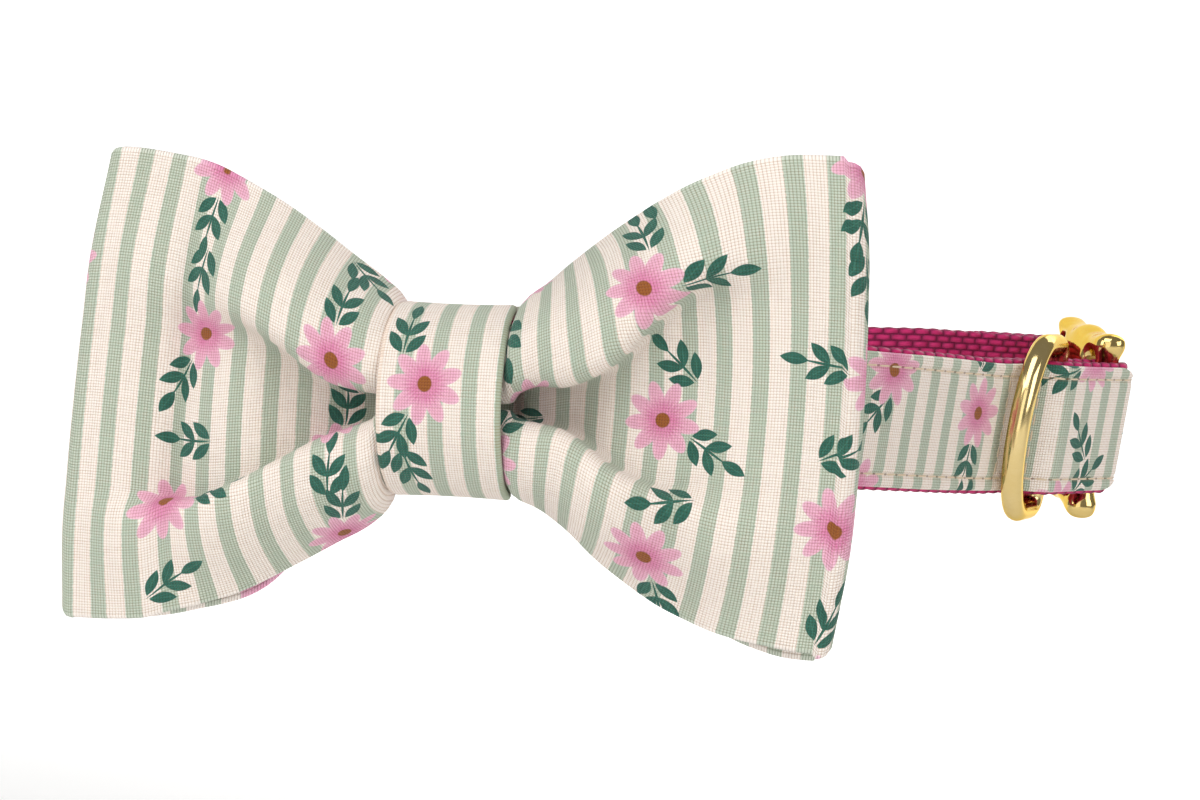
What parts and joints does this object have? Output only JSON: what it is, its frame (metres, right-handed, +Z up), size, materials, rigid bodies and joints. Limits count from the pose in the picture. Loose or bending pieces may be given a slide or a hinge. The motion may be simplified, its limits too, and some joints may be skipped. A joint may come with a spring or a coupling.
{
  "type": "pet bow tie collar",
  "caption": "Fastened pet collar of ribbed webbing with a printed cotton cover, a folded cotton bow tie on a knot band, a swinging D-ring and a metal buckle.",
  "frame": {"origin": "middle of the neck opening, straight behind the bow's knot and level with the middle of the strap", "axes": "+Z up along the neck's axis through the collar, -Y to the front where the bow faces, +X to the bow's right as seen from the front, towards the D-ring and buckle"},
  "size_m": [0.1774, 0.1672, 0.0863],
  "materials": {
    "webbing": "ribbed nylon",
    "printed_cotton": "plain weave cotton with stripes and small flower sprigs",
    "ring_gold": "polished light gold",
    "buckle_gold": "polished yellow gold"
  },
  "bodies": {
    "collar": {"webbing": "webbing", "strap_cover": "printed_cotton", "bow_loop": "printed_cotton", "bow_knot": "printed_cotton", "buckle": "buckle_gold"},
    "ring": {"d_ring": "ring_gold"}
  },
  "joints": [
    {"name": "ring_swing", "type": "hinge", "parent": "collar", "child": "ring", "pos_m": [0.09099, 0.03458, -0.001], "axis": [0.0739, -0.0462, 0.9962], "range_deg": [0, 125]}
  ]
}
